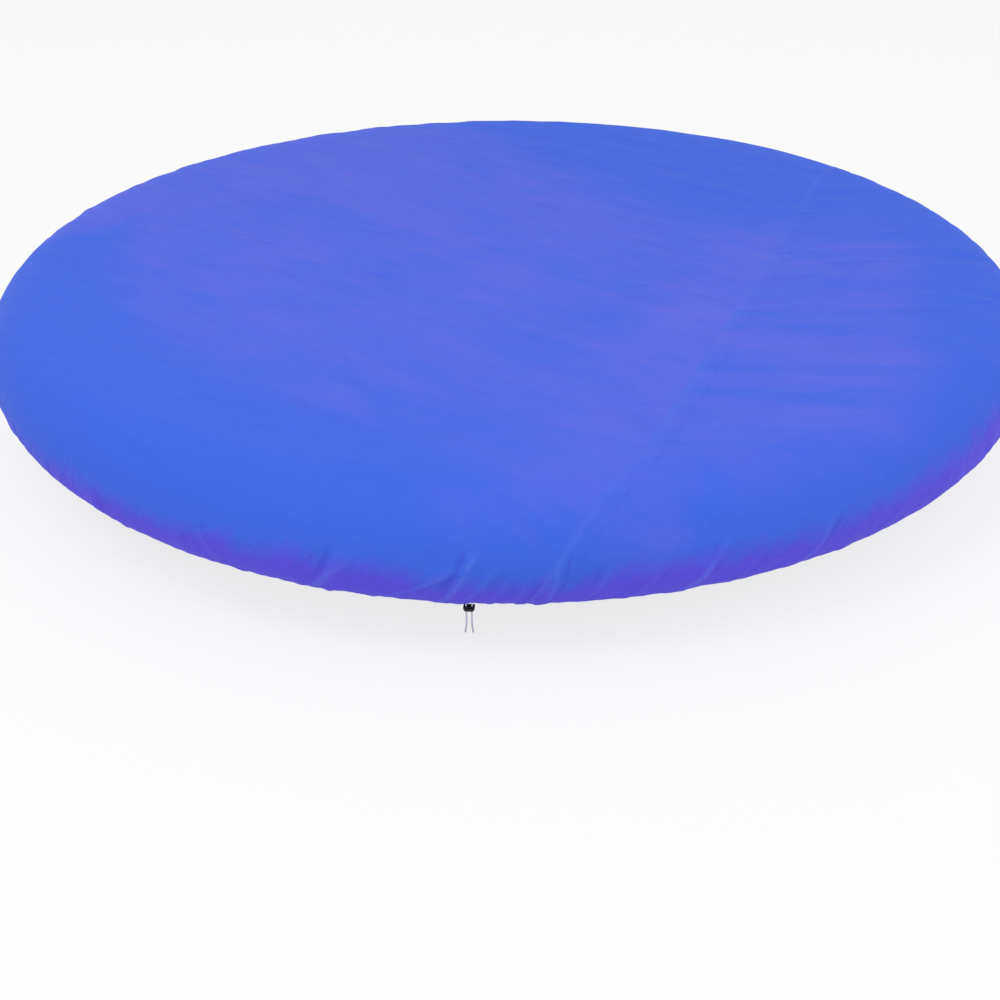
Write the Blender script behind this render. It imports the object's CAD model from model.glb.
import bmesh
import bpy
import math
import numpy as np
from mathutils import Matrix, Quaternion, Vector


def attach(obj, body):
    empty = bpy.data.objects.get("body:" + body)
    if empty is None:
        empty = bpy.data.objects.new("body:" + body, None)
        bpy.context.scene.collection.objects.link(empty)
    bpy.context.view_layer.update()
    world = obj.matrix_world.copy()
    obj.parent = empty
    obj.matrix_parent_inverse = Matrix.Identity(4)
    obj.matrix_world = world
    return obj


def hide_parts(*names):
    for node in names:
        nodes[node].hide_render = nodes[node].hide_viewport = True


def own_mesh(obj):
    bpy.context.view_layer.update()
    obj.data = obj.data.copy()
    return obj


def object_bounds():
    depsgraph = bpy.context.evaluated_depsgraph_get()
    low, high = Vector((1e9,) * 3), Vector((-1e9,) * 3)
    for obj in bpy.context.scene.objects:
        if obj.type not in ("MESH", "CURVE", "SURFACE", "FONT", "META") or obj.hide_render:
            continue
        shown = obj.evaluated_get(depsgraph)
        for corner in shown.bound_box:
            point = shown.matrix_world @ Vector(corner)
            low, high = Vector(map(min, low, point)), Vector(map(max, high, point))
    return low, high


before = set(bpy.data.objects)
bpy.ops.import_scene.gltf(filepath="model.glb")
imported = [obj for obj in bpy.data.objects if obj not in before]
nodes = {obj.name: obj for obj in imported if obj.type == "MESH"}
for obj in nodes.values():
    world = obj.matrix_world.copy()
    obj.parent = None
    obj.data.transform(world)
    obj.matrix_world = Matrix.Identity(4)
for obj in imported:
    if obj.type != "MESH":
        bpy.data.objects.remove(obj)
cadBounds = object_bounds()
bpy.ops.object.select_all(action="DESELECT")
print("frame loaded:", len(nodes), "nodes")

cover = {  # the fitted cover's sizes, as its solids have them
    "tube": 0.146,  # radius of the ring's inflated tube
    "circle": 1.274,  # from the axis to the middle of the tube
    "wrapEnd": math.radians(165),  # from the top of the tube round to the hem
    "layer": 0.0015,  # room that one layer of cloth takes
    "seamAt": 0.715,
    "seamBearing": math.radians(-21.0),
    "lap": 0.055,
    "closure": math.radians(-93.65),
    "eyeletSpacing": 0.014,
}
sheetEnd = cover["circle"] + cover["tube"] * cover["wrapEnd"]  # flat, from the middle to the hem
hemRadius = cover["circle"] + cover["tube"] * math.sin(cover["wrapEnd"])
mainEdge = cover["seamAt"] + cover["lap"] / 2
sideEdge = cover["seamAt"] - cover["lap"] / 2
seamX, seamY = math.cos(cover["seamBearing"]), math.sin(cover["seamBearing"])


def smoothStep(low, high, value):
    t = np.clip((value - low) / (high - low), 0, 1)
    return t * t * (3 - 2 * t)


def nearestTurn(angle):
    return (angle + math.pi) % (2 * math.pi) - math.pi


# ---- camera, floor and light

view = {
    "place": (0.0, -3.851, 1.457),
    "lookAt": (-0.0245, 0.0, -0.816),
    "lens": 51.87,
    "sensor": 36,
    "seesTo": 60,
    "roll": -0.0032,
}


def addCamera():
    bpy.ops.object.camera_add(location=view["place"])
    camera = bpy.context.object
    camera.name = "camera"
    camera.data.lens = view["lens"]
    camera.data.sensor_width = view["sensor"]
    camera.data.clip_end = view["seesTo"]
    looking = Vector(view["lookAt"]) - Vector(view["place"])
    camera.rotation_mode = "QUATERNION"
    turn = looking.to_track_quat("-Z", "Y")
    camera.rotation_quaternion = turn @ Quaternion((0, 0, 1), view["roll"])
    bpy.context.scene.camera = camera


stage = {
    "floorDrop": 0.006,  # below the lowest point of the cord tails
    "floorSize": 60,
    "floorColour": (0.88, 0.88, 0.885, 1),
    "floorWhite": 0.79,  # how far the floor is lifted to white where it is seen
    "sky": 0.765,
    "lamps": {
        "key": {"place": (-1.9, -2.8, 5.2), "size": 3.0, "watts": 100},
        "fill": {"place": (3.8, -2.6, 3.4), "size": 4.0, "watts": 34},
    },
}


class Value:
    # a socket that takes part in sums
    def __init__(self, tree, socket):
        self.tree, self.socket = tree, socket

    def maths(self, operation, *others):
        node = self.tree.nodes.new("ShaderNodeMath")
        node.operation = operation
        for place, value in enumerate((self, *others)):
            plug(self.tree, value, node.inputs[place])
        return Value(self.tree, node.outputs[0])

    def __add__(self, other):
        return self.maths("ADD", other)

    def __sub__(self, other):
        return self.maths("SUBTRACT", other)

    def __rsub__(self, other):
        return self * -1 + other

    def __mul__(self, other):
        return self.maths("MULTIPLY", other)

    def __pow__(self, other):
        return self.maths("POWER", other)

    __radd__, __rmul__ = __add__, __mul__


def plug(tree, value, socket):
    if isinstance(value, Value):
        tree.links.new(value.socket, socket)
    else:
        socket.default_value = value


def addNode(tree, kind, settings, out, **sockets):
    # settings first, then sockets by name, or by number as _0
    node = tree.nodes.new("ShaderNode" + kind)
    for name, value in settings.items():
        setattr(node, name, value)
    for name, value in sockets.items():
        plug(tree, value, node.inputs[int(name[1:]) if name[0] == "_" else name.replace("_", " ")])
    return Value(tree, node.outputs[out]) if node.outputs else None


def whiteWhereSeen(tree, plain, share, white, output):
    # lit as usual, but white to the camera and in reflections
    seen = addNode(tree, "LightPath", {}, "Is Camera Ray")
    for ray in ("Is Glossy Ray", "Is Transmission Ray"):
        seen = seen.maths("MAXIMUM", addNode(tree, "LightPath", {}, ray))
    bright = addNode(tree, white, {}, 0, Color=(1, 1, 1, 1), Strength=1.0)
    mixed = addNode(tree, "MixShader", {}, 0, Fac=seen * share, _1=plain, _2=bright)
    addNode(tree, output, {}, 0, Surface=mixed)


def addFloor():
    drop = cadBounds[0].z - stage["floorDrop"]
    bpy.ops.mesh.primitive_plane_add(size=stage["floorSize"], location=(0, 0, drop))
    floor = bpy.context.object
    floor.name = "floor"
    material = bpy.data.materials.new("floorPaint")
    material.use_nodes = True
    tree = material.node_tree
    tree.nodes.clear()
    plain = addNode(tree, "BsdfDiffuse", {}, 0, Color=stage["floorColour"])
    whiteWhereSeen(tree, plain, stage["floorWhite"], "Emission", "OutputMaterial")
    floor.data.materials.append(material)


def addSky():
    world = bpy.data.worlds.new("studio")
    bpy.context.scene.world = world
    world.use_nodes = True
    tree = world.node_tree
    tree.nodes.clear()
    plain = addNode(tree, "Background", {}, 0, Color=(1, 1, 1, 1), Strength=stage["sky"])
    whiteWhereSeen(tree, plain, 1.0, "Background", "OutputWorld")


def addLamps():
    for name, lamp in stage["lamps"].items():
        bpy.ops.object.light_add(type="AREA", location=lamp["place"])
        light = bpy.context.object
        light.name = name
        light.data.size = lamp["size"]
        light.data.energy = lamp["watts"]
        light.rotation_mode = "QUATERNION"
        light.rotation_quaternion = (-Vector(lamp["place"])).to_track_quat("-Z", "Y")


addCamera()
addFloor()
addSky()
addLamps()
bpy.context.scene.view_settings.view_transform = "Standard"
print("stage set")

# ---- finishes


class Finish:
    # a material on one Principled shader
    def __init__(self, name, **constants):
        self.material = bpy.data.materials.new(name)
        self.material.use_nodes = True
        self.tree = self.material.node_tree
        self.shader = self.tree.nodes["Principled BSDF"]
        self.set(**constants)

    def set(self, **sockets):
        for name, value in sockets.items():
            plug(self.tree, value, self.shader.inputs[name.replace("_", " ")])

    def node(self, kind, settings, out=0, **sockets):
        return addNode(self.tree, kind, settings, out, **sockets)

    def place(self, kind="Object"):
        return self.node("TexCoord", {}, kind)

    def attribute(self, name, out="Fac"):
        return self.node("Attribute", {"attribute_name": name}, out)

    def turned(self, vector, scale, turn=0.0):
        # scaled along and across a bearing of the pattern
        flat = self.node("VectorRotate", {"rotation_type": "Z_AXIS"}, 0, Vector=vector, Angle=-turn)
        return self.node("VectorMath", {"operation": "MULTIPLY"}, 0, _0=flat, _1=scale)

    def parts(self, vector):
        first = self.node("SeparateXYZ", {}, Vector=vector)
        return [Value(self.tree, output) for output in first.socket.node.outputs]

    def noise(self, vector, scale=1.0, detail=2.0, roughness=0.5, distortion=0.0):
        return self.node("TexNoise", {}, 0, Vector=vector, Scale=scale, Detail=detail,
                         Roughness=roughness, Distortion=distortion)

    def step(self, value, low, high):
        return self.node("MapRange", {"interpolation_type": "SMOOTHSTEP"}, "Result", Value=value,
                         From_Min=low, From_Max=high)

    def mix(self, share, first, second):
        settings = {"data_type": "RGBA", "clamp_factor": True}
        return self.node("Mix", settings, 2, _0=share, _6=first, _7=second)

    def bump(self, height, distance, strength=1.0, under=None):
        sockets = {"Height": height, "Distance": distance, "Strength": strength}
        if under is not None:
            sockets["Normal"] = under
        return self.node("Bump", {}, 0, **sockets)


def dress(piece, material):
    piece.data.materials.clear()
    piece.data.materials.append(material)


def linear(red, green, blue):
    def one(value):
        value /= 255
        return value / 12.92 if value <= 0.04045 else ((value + 0.055) / 1.055) ** 2.4
    return (one(red), one(green), one(blue), 1)


cloth = {
    "blue": linear(60, 102, 224),
    "violet": linear(93, 104, 225),
    "deep": linear(95, 76, 226),  # the lower side of the rim
    "crest": linear(104, 136, 238),
    "valley": linear(56, 66, 196),
    "crestShare": 0.26,
    "valleyShare": 0.4,
    "slackShare": 0.1,  # of valley colour in the short creases
    "rubbedShare": 0.12,  # of crest colour beside the lap's edge
    "violetOut": (1.15, 1.36),  # from the axis, over which the middle's violet ends
    "rimDown": (0.115, 0.195),  # below the top, over which the rim gets deeper
    "tape": 0.0026,  # width of one woven tape
    "rough": (0.56, 0.14),  # and what the crinkles add
    "heights": {"crease": 0.011, "drawn": 0.013, "crinkle": 0.0038, "weave": 0.00014},
}
streaks = {  # along a bearing, this fine along it, so strong, and the share of violet under them
    "coverClothMain": {"bearing": math.radians(-40), "along": 2.4, "strength": 1.2, "violet": 0.5},
    "coverClothSide": {"bearing": math.radians(-3), "along": 1.1, "strength": 2.0, "violet": 0.51},
}


def violetPlaces(finish, x, y, reach, ragged):
    # in the middle, out to the rim at the far left and in the front, and none at the far right
    # (places are metres from the cover's middle)
    rightward = finish.step(x, 0.3, 0.5)
    nearLeft = (x * -0.75 + y * -0.66).maths("MAXIMUM", 0) * 0.21
    right = 0.2 * finish.step(y, -1.1, -0.4) + 0.05 * finish.step(x, 0.8, 1.1) - 0.115
    edge = nearLeft * (1 - rightward) + rightward * right
    inside = 1 - finish.step(reach + edge + 0.2 * ragged, *cloth["violetOut"])
    farLeft = finish.step(0.8 * y - 0.6 * x + 0.2 * ragged, 0.78, 0.98)
    front = 1 - finish.step((x - 0.13).maths("ABSOLUTE") + 0.5 * ragged, 0.12, 0.4)
    front = front * finish.step(y * -1, 0.8, 1.0)
    front = front * (1 - finish.step(reach + 0.4 * ragged, 1.34, 1.44)) * 0.85
    farRight = finish.step(0.82 * x + 0.57 * y + 0.35 * ragged, 0.4, 0.72)
    farRight = farRight * finish.step(y + 0.25 * ragged, 0.08, 0.34)
    return inside.maths("MAXIMUM", farLeft).maths("MAXIMUM", front) * (1 - farRight)


def violetStrength(finish, place, x, y, u, pattern):
    # streaks, a rubbed band along the near side of the seam, and two thinner places
    turn = pattern["bearing"]
    streak = finish.turned(place, (pattern["along"], 7.5, 1.0), turn)
    streak = finish.noise(streak, 1.0, 5.0, 0.6, 0.6) - 0.5
    mottle = finish.noise(finish.turned(place, (2.4, 4.2, 2.4), turn), 1.0, 5.0, 0.6, 0.8) - 0.5
    band = finish.step(u + 0.2 * mottle, 0.42, 0.6)
    band = band * (1 - finish.step(u, sideEdge - 0.004, sideEdge + 0.004))
    band = band * (0.06 + 0.14 * finish.step(y * -1, -0.2, 0.3))
    thinner = 0.12 * finish.step(x * -0.7 + y * -0.7, 0.6, 1.0)
    thinner = thinner + 0.1 * finish.step(y, 0.6, 0.9) * finish.step(x, -0.5, -0.2)
    strength = pattern["violet"] + pattern["strength"] * streak + 1.1 * mottle
    return strength + band + 0.1 * y - thinner


def rimDeepness(finish, place, drawnPlace, x, y, z):
    # the lower side of the rim, with a broken edge: higher on the right, lower at the closure
    # and fainter at the far left
    fine = finish.noise(finish.turned(drawnPlace, (22, 22, 5)), 1.0, 3.0, 0.6)
    broken = 0.4 * finish.noise(place, 14, 4.0, 0.6) + 0.6 * fine
    atClosure = 1 - finish.step((x - 0.01).maths("ABSOLUTE"), 0.12, 0.28)
    atClosure = atClosure * finish.step(y * -1, 1.0, 1.2)
    shift = 0.13 * (broken - 0.5) + 0.052 * finish.step(x, 0.65, 1.15) - 0.032 * atClosure
    low = finish.step(z * -1 + shift, *cloth["rimDown"])
    return low * (0.35 + 0.55 * finish.step(0.9 * x - 0.45 * y, -0.95, -0.4))


def wovenTapes(finish, place, u, v):
    # over and under by turns: where the warp is over, how high the tapes stand, and their shades
    sway = 0.0012 * finish.noise(place, 30, 2.0)
    warp = ((u + sway) * (math.pi / cloth["tape"])).maths("COSINE")
    weft = ((v + sway) * (math.pi / cloth["tape"])).maths("COSINE")
    over = finish.step(warp * weft, -0.2, 0.2)
    weave = over * (warp.maths("ABSOLUTE") ** 0.5) + (1 - over) * (weft.maths("ABSOLUTE") ** 0.5)
    shades = finish.noise(finish.turned(finish.place("UV"), (340, 5, 1)), 1.0, 1.0)
    shades = shades + finish.noise(finish.turned(finish.place("UV"), (5, 340, 1)), 1.0, 1.0) - 1
    return over, weave, shades


def clothRelief(finish, place, drawnPlace, z, slack, weave, turn):
    # crinkles: fine along the streaks everywhere, slanting ones where the rim is drawn in
    crinkle = finish.noise(finish.turned(place, (10, 28, 12), turn), 1.0, 5.0, 0.62, 0.6)
    crease = finish.noise(finish.turned(place, (3.6, 10, 4), turn + 0.2), 1.0, 3.0, 0.5, 1.0)
    drawn = finish.noise(finish.turned(drawnPlace, (18, 18, 4.5)), 1.0, 4.0, 0.55, 0.5)
    drawn = drawn * finish.step(z * -1, 0.03, 0.16)
    heights = cloth["heights"]
    normal = finish.bump(crease - 0.15 * slack, heights["crease"])
    normal = finish.bump(drawn, heights["drawn"], 1.0, normal)
    normal = finish.bump(crinkle, heights["crinkle"], 1.0, normal)
    return finish.bump(weave, heights["weave"], 0.6, normal), crinkle


def clothFinish(name):
    pattern = streaks[name]
    turn = pattern["bearing"]
    finish = Finish(name, Specular_IOR_Level=0.12)
    place, drawnPlace = finish.place(), finish.attribute("drawn", "Vector")
    x, y, z = finish.parts(place)
    u, v, _ = finish.parts(finish.place("UV"))
    reach = (x * x + y * y) ** 0.5
    ragged = finish.noise(finish.turned(place, (2.2, 7.0, 3.0), turn), 1.0, 4.0, 0.6, 0.3) - 0.5
    violet = violetPlaces(finish, x, y, reach, ragged)
    violet = violet * violetStrength(finish, place, x, y, u, pattern) + 0.03
    colour = finish.mix(violet, cloth["blue"], cloth["violet"])
    # short slack creases along the streaks
    slack = finish.noise(finish.turned(place, (3.0, 17.0, 3.0), turn), 1.0, 2.0)
    slack = finish.step(slack, 0.56, 0.74) * (1 - finish.step(reach, 1.05, 1.35))
    colour = finish.mix(slack * cloth["slackShare"], colour, cloth["valley"])
    low = rimDeepness(finish, place, drawnPlace, x, y, z)
    colour = finish.mix(low, colour, cloth["deep"])
    fold = finish.attribute("fold")
    crest = finish.step(fold, 0.25, 1.2) * cloth["crestShare"]
    valley = finish.step(fold * -1, 0.1, 0.9) * cloth["valleyShare"]
    colour = finish.mix(valley, finish.mix(crest, colour, cloth["crest"]), cloth["valley"])
    rubbed = finish.step(u, sideEdge - 0.004, sideEdge + 0.002)
    rubbed = rubbed * (1 - finish.step(u, sideEdge + 0.006, sideEdge + 0.026))
    colour = finish.mix(rubbed * cloth["rubbedShare"], colour, cloth["crest"])
    over, weave, shades = wovenTapes(finish, place, u, v)
    bright = 0.99 + 0.06 * shades + 0.015 * over
    colour = finish.node("HueSaturation", {}, 0, Color=colour, Value=bright)
    normal, crinkle = clothRelief(finish, place, drawnPlace, z, slack, weave, turn)
    base, spread = cloth["rough"]
    finish.set(Base_Color=colour, Normal=normal, Roughness=base + spread * crinkle)
    return finish.material


def threadFinish():
    finish = Finish("seamThread", Roughness=0.62, Specular_IOR_Level=0.3)
    ply = finish.noise(finish.place(), 900, 2.0)
    finish.set(Base_Color=finish.mix(ply, linear(50, 78, 202), linear(92, 120, 236)))
    finish.set(Normal=finish.bump(ply, 0.0001))
    return finish.material


def ropeFinish():
    finish = Finish("braidedRope", Roughness=0.72, Sheen_Weight=0.2)
    place = finish.place()
    fibre = finish.noise(finish.turned(place, (2600, 2600, 700)), 1.0, 3.0, 0.6)  # along the rope
    soil = finish.noise(place, 60, 4.0, 0.6)
    colour = finish.mix(fibre, linear(204, 206, 222), linear(250, 250, 255))
    colour = finish.mix(soil * 0.35, colour, linear(196, 196, 206))
    finish.set(Base_Color=colour, Normal=finish.bump(fibre, 0.00012))
    return finish.material


def lockFinish():
    finish = Finish("mouldedBlack", Specular_IOR_Level=0.5)
    place = finish.place()
    grain = finish.noise(place, 2600, 2.0, 0.5)
    dust = finish.noise(place, 160, 4.0, 0.6)
    colour = finish.mix(dust * 0.6, linear(16, 16, 19), linear(38, 38, 44))
    finish.set(Base_Color=colour, Roughness=0.34 + 0.22 * dust, Normal=finish.bump(grain, 0.00006))
    return finish.material


def metalFinish(name, darker, brighter, scale, rough):
    finish = Finish(name, Metallic=1.0)
    rubbed = finish.noise(finish.turned(finish.place(), scale), 1.0, 3.0, 0.6)
    finish.set(Base_Color=finish.mix(rubbed, darker, brighter))
    finish.set(Roughness=rough + 0.2 * rubbed, Normal=finish.bump(rubbed, 0.00004))
    return finish.material


mainCloth, sideCloth = (clothFinish(name) for name in streaks)
thread = threadFinish()
rope = ropeFinish()
black = lockFinish()
metals = {  # darker and brighter colour, fineness of the rubbing, and roughness
    "stampedEyelet": (linear(168, 170, 176), linear(214, 216, 220), (220, 900, 900), 0.24),
    "drawnWire": (linear(140, 142, 148), linear(196, 198, 204), (1800, 1800, 1800), 0.2),
}
metal, wire = (metalFinish(name, *look) for name, look in metals.items())
finishOf = {
    "eyelet_left": metal,
    "eyelet_right": metal,
    "cord_lock_body": black,
    "cord_lock_plunger": black,
    "drawstring": rope,
}
for name, material in finishOf.items():
    dress(nodes[name], material)
print("finishes made")

# ---- cord tails: the rope's two free ends, through the cord lock

tails = {
    "thick": 0.004,
    "length": 0.079,
    "toHole": 0.006,  # from the lock's middle to each cord hole
    "lockTop": (-0.08334, -1.30652, -0.30856),
    "starts": {  # out of each eyelet, square to the hem
        "left": [(-0.090217, -1.304081, -0.298819), (-0.090308, -1.305320, -0.303456)],
        "right": [(-0.076208, -1.304974, -0.298819), (-0.076275, -1.306215, -0.303456)],
    },
    "route": {  # beyond the cord hole, out and up from the lock's top
        "left": [
            (0.00015, -0.00015, -0.0007),
            (-0.00005, 0.00005, -0.010),
            (-0.0003, 0.0001, -0.0275),
            (-0.0002, 0.0, -0.051),
            (0.0029, -0.0005, -0.069),
        ],
        "right": [
            (0.00015, -0.00015, -0.0007),
            (-0.00005, 0.00005, -0.010),
            (-0.0003, 0.0001, -0.0275),
            (-0.0002, 0.0, -0.051),
            (0.0024, -0.0005, -0.069),
        ],
    },
    "strands": 8,  # each way round
    "lay": 0.0135,  # in which a strand goes once round
    "strandWidth": 0.00062,  # half
    "strandDepth": 0.00030,  # half
    "strandSides": 6,
    "strandPath": 0.00155,
    "weaveDepth": 0.00017,
    "ringSpacing": 0.0006,
    "beadSides": 12,
    "melted": [  # the bead at the end, as places along the rope and radii
        (-0.0022, 0.0017),
        (-0.0012, 0.00195),
        (-0.0003, 0.00192),
        (0.0004, 0.0015),
        (0.0008, 0.0007),
    ],
}
closureOut = Vector((math.cos(cover["closure"]), math.sin(cover["closure"]), 0))
closureSide = Vector((-closureOut.y, closureOut.x, 0))


def routePoints(side, hand):
    points = [Vector(point) for point in tails["starts"][hand]]
    top = Vector(tails["lockTop"])
    for beyond, out, up in tails["route"][hand]:
        across = side * (tails["toHole"] + beyond)
        points.append(top + closureSide * across + closureOut * out + Vector((0, 0, up)))
    return points


def meshPoints(mesh):
    flat = np.zeros(len(mesh.vertices) * 3)
    mesh.vertices.foreach_get("co", flat)
    return flat.reshape(-1, 3)


def splinePoints(points):
    curve = bpy.data.curves.new("route", "CURVE")
    curve.dimensions = "3D"
    curve.resolution_u = 24
    spline = curve.splines.new("NURBS")
    spline.points.add(len(points) - 1)
    for knot, point in zip(spline.points, points):
        knot.co = (*point, 1)
    spline.order_u = 3
    spline.use_endpoint_u = True
    route = bpy.data.objects.new("route", curve)
    mesh = bpy.data.meshes.new_from_object(route)
    line = meshPoints(mesh)
    bpy.data.objects.remove(route)
    bpy.data.meshes.remove(mesh)
    return line


def unit(vectors):
    return vectors / np.linalg.norm(vectors, axis=-1, keepdims=True)


def framesAlong(line, spacing):
    # evenly spaced points with two directions square to the line
    along = np.concatenate([[0], np.cumsum(np.linalg.norm(np.diff(line, axis=0), axis=1))])
    at = np.linspace(0, along[-1], int(along[-1] / spacing))
    points = np.stack([np.interp(at, along, line[:, k]) for k in range(3)], 1)
    tangents = unit(np.gradient(points, axis=0))
    across = unit(np.cross(tangents, np.array(closureOut)))
    return at, points, tangents, across, np.cross(tangents, across)


def tubeFaces(rings, sides, start):
    # quads of a tube whose rings follow one another, and its two caps
    faces = [(start + r * sides + s, start + r * sides + (s + 1) % sides,
              start + (r + 1) * sides + (s + 1) % sides, start + (r + 1) * sides + s)
             for r in range(rings - 1) for s in range(sides)]
    last = start + (rings - 1) * sides
    faces.append(tuple(start + s for s in reversed(range(sides))))
    faces.append(tuple(last + s for s in range(sides)))
    return faces


def newPiece(name, points, faces, material):
    mesh = bpy.data.meshes.new(name)
    mesh.from_pydata(points if isinstance(points, list) else points.tolist(), [], faces)
    piece = bpy.data.objects.new(name, mesh)
    bpy.context.scene.collection.objects.link(piece)
    dress(piece, material)
    return piece


def choose(piece):
    bpy.ops.object.select_all(action="DESELECT")
    piece.select_set(True)
    bpy.context.view_layer.objects.active = piece


def outwards(piece):
    choose(piece)
    bpy.ops.object.mode_set(mode="EDIT")
    bpy.ops.mesh.select_all(action="SELECT")
    bpy.ops.mesh.normals_make_consistent(inside=False)
    bpy.ops.object.mode_set(mode="OBJECT")


def smooth(piece, degrees):
    choose(piece)
    bpy.ops.object.shade_smooth_by_angle(angle=math.radians(degrees))


spring = {
    "travel": 0.003,  # of the button
    "wire": 0.0006,
    "merge": 0.000001,
}


def addSpring():
    # the button shortens it against the lock's body
    mesh = nodes["cord_lock_spring"].data.copy()
    piece = bpy.data.objects.new("lockSpring", mesh)
    bpy.context.scene.collection.objects.link(piece)
    choose(piece)
    bpy.ops.object.mode_set(mode="EDIT")
    bpy.ops.mesh.select_all(action="SELECT")
    bpy.ops.mesh.remove_doubles(threshold=spring["merge"])
    bpy.ops.object.mode_set(mode="OBJECT")
    dress(piece, wire)
    smooth(piece, 60)
    reach = meshPoints(mesh) @ np.array(closureOut)
    length = reach.max() - reach.min()
    middle = Vector(meshPoints(mesh).mean(0))
    fixedEnd = middle + closureOut * (reach.min() - middle.dot(closureOut))
    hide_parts("cord_lock_spring")
    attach(piece, "cord_lock")
    keep = 1 - spring["travel"] / (length - spring["wire"])
    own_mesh(piece)
    print("spring set: %.1f mm long, %.1f mm pressed" % (length * 1000, length * keep * 1000))
    return piece


lockSpring = addSpring()


def addTail(side, hand):
    line = splinePoints(routePoints(side, hand))
    at, points, tangents, across, upward = framesAlong(line, tails["ringSpacing"])
    rings, sides, blocks, faces = len(points), tails["strandSides"], [], []
    turn = 2 * math.pi * at / tails["lay"]  # each strand's way round so far
    for way in (1, -1):
        radius = tails["strandPath"] + way * tails["weaveDepth"] * np.cos(tails["strands"] * turn)
        for strand in range(tails["strands"]):
            angle = way * turn + 2 * math.pi * strand / tails["strands"]
            outward = np.cos(angle)[:, None] * across + np.sin(angle)[:, None] * upward
            middle = points + radius[:, None] * outward
            flatwise = unit(np.cross(outward, unit(np.gradient(middle, axis=0))))
            wide, deep = tails["strandWidth"] * flatwise, tails["strandDepth"] * outward
            ring = [middle + math.cos(a) * wide + math.sin(a) * deep
                    for a in np.arange(sides) * 2 * math.pi / sides]
            faces += tubeFaces(rings, sides, sum(len(block) for block in blocks))
            blocks.append(np.stack(ring, 1).reshape(-1, 3))
    # the end is melted to a small bead, so that it can't fray
    around = np.arange(tails["beadSides"]) * 2 * math.pi / tails["beadSides"]
    circle = [math.cos(a) * across[-1] + math.sin(a) * upward[-1] for a in around]
    bead = [points[-1] + up * tangents[-1] + radius * outward
            for up, radius in tails["melted"] for outward in circle]
    faces += tubeFaces(len(tails["melted"]), len(around), sum(len(block) for block in blocks))
    blocks.append(np.array(bead))
    tail = newPiece("tail_" + hand, np.concatenate(blocks), faces, rope)
    outwards(tail)
    smooth(tail, 60)
    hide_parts("drawstring_tail_" + hand)
    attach(tail, "cover")


for side, hand in ((-1, "left"), (1, "right")):
    addTail(side, hand)
print("cord tails hung")

# ---- the cloth: flat, then draped over the ring

sheet = {
    "thickness": 0.0006,
    "skirtRows": 18,  # from the hem up to the tube's widest line
    "tubeRows": 20,  # on to the top of the tube
    "topRows": 52,  # on to the middle
    "columns": 1760,  # round the skirt, and half as many at each step inwards
    "tuckedIn": 0.0015,  # how far the sheet runs into the hem
    "merge": 0.0006,  # points nearer than this after a cut become one
    "lapRise": 0.00072,  # how much higher the upper layer of the lap lies
    "lapSlope": 0.012,  # over which it comes down beyond the lap
}
folds = {
    "sag": 0.022,
    "twist": 0.05,  # radians that the drawn skirt turns clockwise against the top
    "seed": 7,
    "gathers": 186,
    "gap": (0.5, 1.5),  # between gathers, as shares of the mean gap
    "height": (0.0018, 0.0052),
    "width": (0.008, 0.016),
    "start": (121, 152),  # degrees round the tube at which a gather begins
    "rise": 0.5,  # radians of the tube over which it grows
    "slant": (0.3, 0.8),  # sideways for each step up
    "bend": (-1.5, 1.5),  # how much the slant grows for each metre up
    # single creases in the front: bearing at the hem, height, start round the tube, slant, steep side
    "tucks": [
        (-158, 0.0040, 78, 0.2, 1), (-150, 0.0035, 84, 0.1, 1), (-141, 0.0045, 76, 0.2, 1),
        (-132, 0.0040, 80, 0.1, 1), (-121, 0.0035, 84, 0.1, 1), (-114.2, 0.0050, 60, -0.4, 1),
        (-111.5, 0.0045, 74, 1.0, -1), (-109.3, 0.0062, 64, 0.6, -1), (-105.6, 0.0078, 78, 1.35, 1),
        (-101.5, 0.0026, 84, 0.8, 1), (-97.4, 0.0074, 60, 0.48, -1), (-96.0, 0.0042, 72, 0.6, 1),
        (-93.4, 0.0036, 82, 0.5, 1), (-91, 0.0034, 84, 0.4, 1), (-87.3, 0.0054, 62, 0.22, 1),
        (-84.8, 0.0042, 72, 0.4, -1), (-80.5, 0.0040, 78, 0.4, 1), (-76.4, 0.0048, 62, 0.5, -1),
        (-74.7, 0.0058, 82, 0.26, 1), (-70.5, 0.0036, 84, 0.3, 1), (-64.0, 0.0062, 68, 0.27, 1),
        (-59, 0.0036, 84, 0.2, 1), (-54, 0.0040, 80, 0.2, 1), (-47, 0.0040, 80, 0.2, 1),
        (-38, 0.0046, 78, 0.2, 1), (-27, 0.0040, 76, 0.1, 1),
    ],
    "tucksBehind": {"count": 34, "bearing": (0, 180), "height": (0.003, 0.006), "start": (60, 90)},
    "tuckWidth": (0.011, 0.017),
    "tuckBend": (-0.3, 0.3),
    "tuckLeft": 0.3,  # of a tuck's height under the rim
    "tuckFades": (0.4, 2.15),  # from this far below its start to this far round the tube
    "above": 0.8,  # radians round the tube, before which the cloth has no folds
    "smoothFrom": (1.7, 2.05),  # radians over which the rim's lower side begins to lie smooth
    "smoothTo": (2.25, 2.6),
    "steepSide": 1.7,  # a fold is this much narrower on its steep side
    "easySide": 0.8,
    "gatherPower": 1.6,  # how full a fold's section is
    "tuckPower": 1.3,
    "valleyAt": 1.9,  # half widths from the crest, on the steep side
    "valleyWidth": 0.95,
    "markedHeight": 0.005,  # of a fold that gets its whole share of colour
    "room": 0.010,  # the most that folds lift the cloth
    "roomUnder": 0.0042,  # where it is pulled smooth as the rim turns under
    "hemmed": 0.45,  # of the lift that the hem takes away
}
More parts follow.
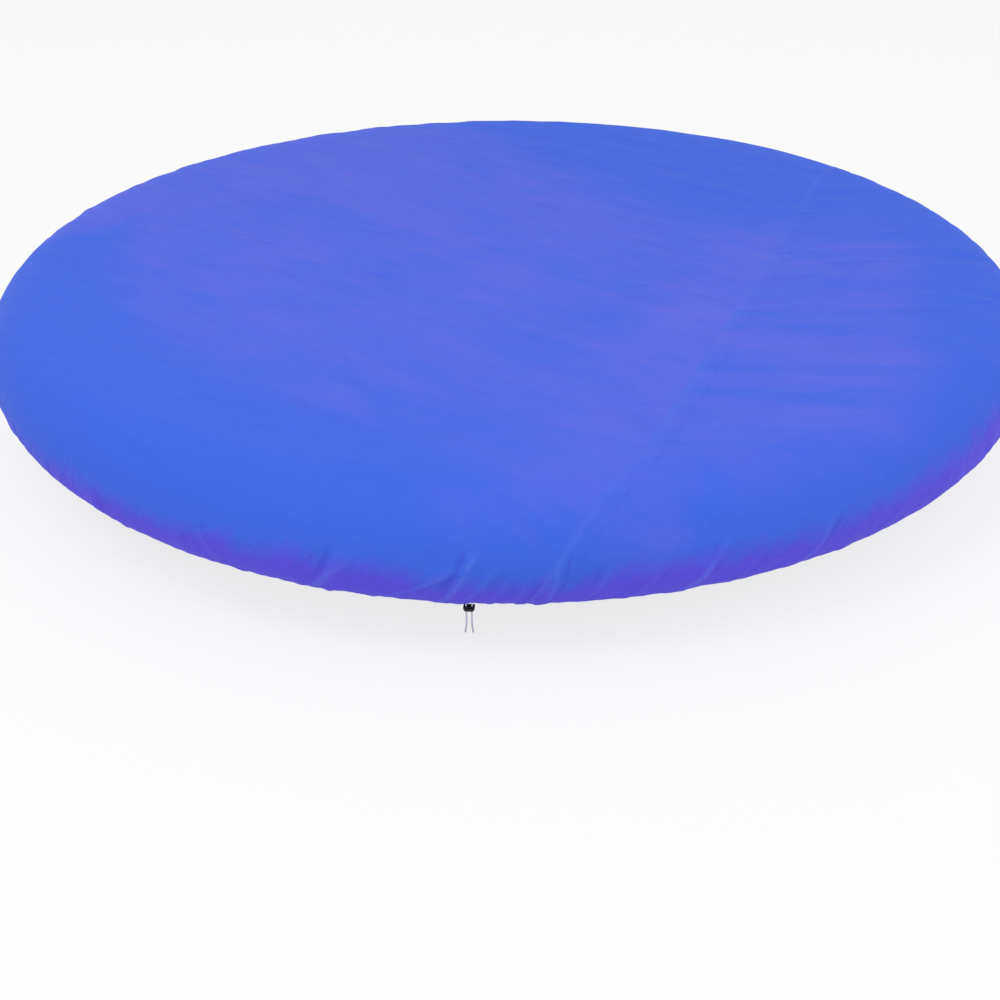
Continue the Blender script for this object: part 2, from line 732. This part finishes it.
ripples = {  # bearing, wavelengths across and along it, seed and height
    "main": [(math.radians(-42), 0.16, 0.9, 3, 0.0009), (math.radians(-38), 0.085, 0.5, 4, 0.0004)],
    "side": [(math.radians(-3), 0.15, 0.8, 5, 0.0011), (math.radians(3), 0.085, 0.4, 6, 0.0004)],
    "pucker": [(cover["seamBearing"], 0.055, 0.16, 8, 0.00045)],
    "rim": [(0.3, 0.06, 0.09, 9, 0.0005)],
    "hem": [(0.5, 0.028, 0.028, 12, 0.0004)],
}


def waves(x, y, bearing, across, along, seed, count=56):
    # streaky ripples of height about 1 along a bearing, with these mean wavelengths
    random = np.random.default_rng(seed)
    total = np.zeros_like(x)
    c, s = math.cos(bearing), math.sin(bearing)
    for _ in range(count):
        kAlong = random.normal(0, 2 * math.pi / along)
        kAcross = (random.normal(0, 1) * 0.45 + random.choice((-1, 1))) * 2 * math.pi / across
        kx, ky = kAlong * c - kAcross * s, kAlong * s + kAcross * c
        total += np.cos(kx * x + ky * y + random.uniform(0, 2 * math.pi))
    return total / math.sqrt(count / 2)


def rippled(x, y, name):
    return sum(waves(x, y, *wave) * height for *wave, height in ripples[name])


def gatherList():
    # each as its bearing at the hem, height, start round the tube, slant, half width, bend,
    # steep side, and whether it is a tuck
    random = np.random.default_rng(folds["seed"])

    def between(name):
        return random.uniform(*folds[name])

    gaps = random.uniform(*folds["gap"], folds["gathers"])
    places = np.cumsum(gaps) / gaps.sum() * 2 * math.pi
    gathers = [(place, between("height"), math.radians(between("start")), between("slant"),
                between("width"), between("bend"), 1, False) for place in places]
    behind = folds["tucksBehind"]
    others = [(random.uniform(*behind["bearing"]), random.uniform(*behind["height"]),
               random.uniform(*behind["start"]), between("slant"), 1) for _ in range(behind["count"])]
    tucks = [(math.radians(bearing), height, math.radians(start), slant,
              between("tuckWidth"), between("tuckBend"), steep, True)
             for bearing, height, start, slant, steep in folds["tucks"] + others]
    return gathers + tucks


allGathers = gatherList()


def foldSection(off, width, rise, steep, tuck):
    # a fold's crest and the valley beside it, from 0 to 1 across it
    across = steep * off / (width * (1.5 - 0.5 * rise))
    across = np.where(across > 0, across * folds["steepSide"], across * folds["easySide"])
    crest = np.exp(-np.abs(across) ** folds["tuckPower" if tuck else "gatherPower"])
    valley = np.exp(-((across - folds["valleyAt"]) / folds["valleyWidth"]) ** 2)
    return crest, valley


def gathered(bearing, reach):
    # how far the gathers lift the cloth off the tube, and where their crests and valleys are
    turned = (reach - cover["circle"]) / cover["tube"]
    used = turned > folds["above"]
    b, t, toHem = bearing[used], turned[used], sheetEnd - reach[used]
    total, marks = np.zeros_like(b), np.zeros_like(b)
    fadeStart, fadeEnd = folds["tuckFades"]
    for place, height, start, slant, width, bend, steep, tuck in allGathers:
        path = place + (slant * toHem + bend * toHem * toHem) / hemRadius
        off = nearestTurn(b - path) * hemRadius
        near = np.abs(off) < 5 * width
        rise = smoothStep(start, start + folds["rise"], t[near])
        crest, valley = foldSection(off[near], width, rise, steep, tuck)
        left = 1
        if tuck:
            left = 1 - (1 - folds["tuckLeft"]) * smoothStep(start + fadeStart, fadeEnd, t[near])
            valley *= 1 - 0.7 * smoothStep(start + 0.35, start + 0.85, t[near])
        total[near] += height * rise * crest * left
        mark = height / folds["markedHeight"] * (1 if tuck else 0.5)
        marks[near] += mark * rise * (crest ** 2 - 0.8 * valley)
    hemmed = 1 - folds["hemmed"] * smoothStep(sheetEnd - 0.05, sheetEnd, reach[used])
    under = smoothStep(*folds["smoothFrom"], t) - smoothStep(*folds["smoothTo"], t)
    room = folds["room"] - (folds["room"] - folds["roomUnder"]) * under
    lift, fold = np.zeros_like(reach), np.zeros_like(reach)
    lift[used] = room * np.tanh(total / room) * hemmed
    fold[used] = marks
    return lift, fold


def twisted(bearing, reach):
    # the drawstring pulls the skirt a little way round
    return bearing - folds["twist"] * smoothStep(cover["circle"] - 0.12, cover["circle"] + 0.22, reach)


def drape(flat, lift):
    # flat cloth to its place over the ring, and how far each point stands on a fold
    u, v = flat[:, 0], flat[:, 1]
    reach = np.hypot(u, v)
    bearing = twisted(np.arctan2(v, u), reach)
    turned = np.clip((reach - cover["circle"]) / cover["tube"], 0, None)
    toSeam = u * seamX + v * seamY - cover["seamAt"]
    onSide = smoothStep(-0.04, 0.04, toSeam)  # the two panels' ripples run apart at the seam
    ripple = rippled(u, v, "main") * (1 - onSide) + rippled(u, v, "side") * onSide
    ripple += rippled(u, v, "pucker") * np.exp(-(toSeam / 0.05) ** 2)
    ripple *= 1 - 0.7 * smoothStep(0.3, 1.2, turned)  # the cloth is tight over the tube
    ripple += rippled(u, v, "rim") * smoothStep(1.1, 1.7, turned)
    drawn, fold = gathered(bearing, reach)
    out = lift + drawn + ripple * smoothStep(0.0, 0.06, sheetEnd - reach)
    sag = folds["sag"] * np.clip(1 - (reach / cover["circle"]) ** 2, 0, 1) ** 1.3
    radius = np.where(turned > 0, cover["circle"], reach) + (cover["tube"] + out) * np.sin(turned)
    height = -cover["tube"] + (cover["tube"] + out) * np.cos(turned) - sag
    places = np.stack([radius * np.cos(bearing), radius * np.sin(bearing), height], 1)
    return places, fold


def drawnPattern(flat):
    # a place for each point that runs on along the slant of the gathers
    reach = np.hypot(flat[:, 0], flat[:, 1])
    toHem = sheetEnd - reach
    bearing = twisted(np.arctan2(flat[:, 1], flat[:, 0]), reach) - 0.6 * toHem / hemRadius
    return np.stack([hemRadius * np.cos(bearing), hemRadius * np.sin(bearing), toHem], 1)


def flatDisc():
    # rings of quads from the hem to the middle, with half the columns wherever they get narrow
    end = sheetEnd + sheet["tuckedIn"]
    rim, widest = cover["circle"], cover["circle"] + cover["tube"] * math.pi / 2
    reaches = list(np.linspace(end, widest, sheet["skirtRows"], endpoint=False))
    reaches += list(np.linspace(widest, rim, sheet["tubeRows"], endpoint=False))
    reaches += list(np.linspace(rim, 0, sheet["topRows"], endpoint=False))
    halveAt = [widest + 0.001, rim + 0.001] + [rim * 0.5 ** n for n in range(1, 5)]
    columns, points, faces, start = sheet["columns"], [], [], 0
    for number, reach in enumerate(reaches):
        before = columns
        if halveAt and reach < halveAt[0] and columns % 2 == 0:
            halveAt.pop(0)
            columns //= 2
        angles = np.arange(columns) * 2 * math.pi / columns
        points += list(zip(reach * np.cos(angles), reach * np.sin(angles), np.zeros(columns)))
        if number:
            here = start + before
            for n in range(columns):
                d, e = here + n, here + (n + 1) % columns
                if columns < before:
                    a, b, c = start + 2 * n, start + 2 * n + 1, start + (2 * n + 2) % before
                    faces += [(a, b, d), (b, e, d), (b, c, e)]
                else:
                    faces.append((start + n, start + (n + 1) % columns, e, d))
            start = here
    points.append((0, 0, 0))
    faces += [(start + n, start + (n + 1) % columns, len(points) - 1) for n in range(columns)]
    return points, faces


discPoints, discFaces = flatDisc()


def addValues(mesh, flatUv, fold, drawn):
    # flat places at the faces' corners, and two values at the points
    corners = np.zeros(len(mesh.loops), np.int32)
    mesh.loops.foreach_get("vertex_index", corners)
    mesh.uv_layers.new(name="UVMap").data.foreach_set("uv", flatUv[corners].ravel())
    mesh.attributes.new("fold", "FLOAT", "POINT").data.foreach_set("value", fold)
    places = mesh.attributes.new("drawn", "FLOAT_VECTOR", "POINT")
    places.data.foreach_set("vector", drawn.ravel())


def thicken(piece, thickness, offset):
    choose(piece)
    bpy.ops.object.modifier_add(type="SOLIDIFY")
    piece.modifiers[-1].thickness = thickness
    piece.modifiers[-1].offset = offset
    bpy.ops.object.modifier_apply(modifier=piece.modifiers[-1].name)


def layPanel(name, node, material, low, high, liftOf):
    # the part of the flat sheet between two lines along the seam, draped
    panel = newPiece(name, discPoints, discFaces, material)
    mesh = panel.data
    work = bmesh.new()
    work.from_mesh(mesh)
    facing = Vector((seamX, seamY, 0))
    for limit, sign in ((low, -1), (high, 1)):
        if limit is not None:
            everything = work.verts[:] + work.edges[:] + work.faces[:]
            bmesh.ops.bisect_plane(work, geom=everything, dist=1e-5, plane_co=facing * limit,
                                   plane_no=facing * sign, clear_outer=True)
    bmesh.ops.remove_doubles(work, verts=work.verts[:], dist=sheet["merge"])
    work.to_mesh(mesh)
    work.free()
    flat = meshPoints(mesh)
    u, v = flat[:, 0], flat[:, 1]
    flatUv = np.stack([u * seamX + v * seamY, v * seamX - u * seamY], 1)  # off the seam and along it
    places, fold = drape(flat, liftOf(flatUv[:, 0]))
    mesh.vertices.foreach_set("co", places.ravel())
    addValues(mesh, flatUv, fold, drawnPattern(flat))
    mesh.update()
    thicken(panel, sheet["thickness"], 0)
    smooth(panel, 50)
    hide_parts(node)
    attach(panel, "cover")
    print(name, "draped:", len(panel.data.polygons), "faces")
    return panel


def mainLift(toSeam):
    return np.full_like(toSeam, cover["layer"] / 2)


def sideLift(toSeam):
    # over the main panel in the lap, then down onto the ring
    down = smoothStep(mainEdge, mainEdge + sheet["lapSlope"], toSeam)
    return cover["layer"] / 2 + sheet["lapRise"] * (1 - down)


mainPanel = layPanel("panelMain", "panel_main", mainCloth, None, mainEdge, mainLift)
sidePanel = layPanel("panelSide", "panel_side", sideCloth, sideEdge, None, sideLift)

# ---- the hem: a gathered tunnel round the rope

hem = {
    "width": 0.015,
    "depth": 0.009,
    "corner": 0.003,
    "wall": 0.0006,
    "columns": 1600,
    "ruffle": 0.4,  # of the gathers' lift, on the outer face
    "markedLift": 0.004,  # that gets its whole share of colour
    "calm": 0.022,  # how near an eyelet the hem lies smooth
    "hole": 0.0038,
    "holeDepth": 0.012,
    "holeOut": 0.008,  # from a tail's start to the middle of the cut
    "weaveFrom": 20,  # metres along the cloth, away from the panels' own
    "weaveStep": 0.0026,  # between the points of its outline
}
downTurn = cover["wrapEnd"] - math.pi / 2
hemAlong = (-math.sin(downTurn), -math.cos(downTurn))
hemOutward = (-hemAlong[1], hemAlong[0])


def hemSection():
    # the tunnel's outline as (along the sheet, outward), with round corners
    width, depth, corner = hem["width"], hem["depth"], hem["corner"]
    points = []
    for cx, cy, turn in ((width - corner, corner, -90), (width - corner, depth - corner, 0),
                         (corner, depth - corner, 90), (corner, corner, 180)):
        for n in range(4):
            angle = math.radians(turn + 30 * n)
            points.append((cx + corner * math.cos(angle), cy + corner * math.sin(angle)))
        if turn == 0:
            points += [(width * share, depth) for share in (0.6, 0.4)]
    return points


def addHem():
    section = hemSection()
    columns, count = hem["columns"], len(section)
    bearings = np.arange(columns) * 2 * math.pi / columns
    calm = np.ones(columns)
    for side in (-1, 1):
        at = cover["closure"] + side * cover["eyeletSpacing"] / 2 / hemRadius
        calm *= 1 - np.exp(-((nearestTurn(bearings - at) * hemRadius / hem["calm"]) ** 4))
    lift = gathered(bearings, np.full(columns, sheetEnd))[0] * hem["ruffle"] * calm
    around = hemRadius * np.stack([np.cos(bearings), np.sin(bearings)])
    wobble = rippled(around[0], around[1], "hem") * calm
    points = np.zeros((columns, count, 3))
    startZ = -cover["tube"] + cover["tube"] * math.cos(cover["wrapEnd"])
    for n, (along, outward) in enumerate(section):
        share = outward / hem["depth"]
        a = along + wobble * (along / hem["width"])
        o = outward + (lift + wobble) * share
        r = hemRadius + a * hemAlong[0] + o * hemOutward[0]
        z = startZ + a * hemAlong[1] + o * hemOutward[1]
        points[:, n] = np.stack([r * np.cos(bearings), r * np.sin(bearings), z], 1)
    faces = []
    for c in range(columns):
        here, beyond = c * count, ((c + 1) % columns) * count
        for n in range(count):
            after = (n + 1) % count
            faces.append((here + n, beyond + n, beyond + after, here + after))
    casing = newPiece("hemCasing", points.reshape(-1, 3), faces, mainCloth)
    onCloth = np.repeat(bearings * sheetEnd + hem["weaveFrom"], count)
    flatUv = np.stack([onCloth, np.tile(np.arange(count) * hem["weaveStep"], columns)], 1)
    flatPlaces = np.repeat(around.T * sheetEnd / hemRadius, count, axis=0)
    fold = np.repeat(lift / hem["markedLift"], count)
    addValues(casing.data, flatUv, fold, drawnPattern(flatPlaces))
    outwards(casing)
    thicken(casing, hem["wall"], -1)
    for hand in ("left", "right"):
        start, out = (Vector(point) for point in tails["starts"][hand])
        axis = (out - start).normalized()
        bpy.ops.object.select_all(action="DESELECT")
        bpy.ops.mesh.primitive_cylinder_add(vertices=32, radius=hem["hole"], depth=hem["holeDepth"],
                                            location=start + axis * hem["holeOut"],
                                            rotation=axis.to_track_quat("Z", "Y").to_euler())
        cutter = bpy.context.object
        choose(casing)
        bpy.ops.object.modifier_add(type="BOOLEAN")
        casing.modifiers[-1].object = cutter
        casing.modifiers[-1].operation = "DIFFERENCE"
        casing.modifiers[-1].solver = "EXACT"
        bpy.ops.object.modifier_apply(modifier=casing.modifiers[-1].name)
        bpy.data.objects.remove(cutter)
    smooth(casing, 50)
    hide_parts("hem_casing")
    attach(casing, "cover")
    print("hem gathered:", len(casing.data.polygons), "faces")
    return casing


hemCasing = addHem()

# ---- thread: two rows along the seam and one above the hem

stitch = {
    "pitch": 0.008,
    "length": 0.0056,
    "radius": 0.00036,
    "sides": 5,
    "dips": ((0, -0.0006), (0.2, 0.0005), (0.8, 0.0005), (1, -0.0006)),  # share along, height
    "fromEdge": 0.005,  # of a row to the cut edge beside it
    "fromHem": 0.012,  # where the seam's rows end
    "hemRow": 0.0035,  # above the tunnel
}


def stitchRow(starts, ends, liftOf):
    # one short thread between each pair of flat points, dipping into the cloth at its ends
    rings = []
    for share, height in stitch["dips"]:
        flat = starts + (ends - starts) * share
        lift = liftOf(flat[:, 0] * seamX + flat[:, 1] * seamY)
        places = drape(flat, lift + height)[0]
        rings.append((places, unit(drape(flat, lift + height + 0.001)[0] - places)))
    tangent = unit(rings[-1][0] - rings[0][0])
    blocks = []
    for places, normal in rings:
        across = np.cross(tangent, normal)
        for n in range(stitch["sides"]):
            angle = 2 * math.pi * n / stitch["sides"]
            outward = math.cos(angle) * normal + math.sin(angle) * across
            blocks.append(places + stitch["radius"] * outward)
    return np.stack(blocks, 1)


def addThread(name, rows):
    stitches = np.concatenate(rows)
    each = stitches.shape[1]
    faces = []
    for n in range(len(stitches)):
        faces += tubeFaces(len(stitch["dips"]), stitch["sides"], n * each)
    piece = newPiece(name, stitches.reshape(-1, 3), faces, thread)
    outwards(piece)
    smooth(piece, 60)
    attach(piece, "cover")
    print(name, "sewn:", len(stitches), "stitches")
    return piece


def seamRow(distance):
    half = math.sqrt((sheetEnd - stitch["fromHem"]) ** 2 - distance ** 2)
    at = np.arange(-half, half, stitch["pitch"])

    def flat(along):
        return np.stack([distance * seamX - along * seamY, distance * seamY + along * seamX], 1)

    top = cover["layer"] / 2 + sheet["lapRise"] + sheet["thickness"] / 2
    return stitchRow(flat(at), flat(at + stitch["length"]), lambda toSeam: np.full_like(toSeam, top))


def hemStitches():
    reach = sheetEnd - stitch["hemRow"]
    count = int(2 * math.pi * reach / stitch["pitch"])
    at = np.arange(count) * 2 * math.pi / count

    def flat(bearings):
        return reach * np.stack([np.cos(bearings), np.sin(bearings)], 1)

    def lift(toSeam):
        return np.where(toSeam > sideEdge, sideLift(toSeam), mainLift(toSeam)) + sheet["thickness"] / 2

    return stitchRow(flat(at), flat(at + stitch["length"] / reach), lift)


seamRows = [seamRow(sideEdge + stitch["fromEdge"]), seamRow(mainEdge - stitch["fromEdge"])]
seamThread = addThread("seamThread", seamRows)
hemThread = addThread("hemThread", [hemStitches()])
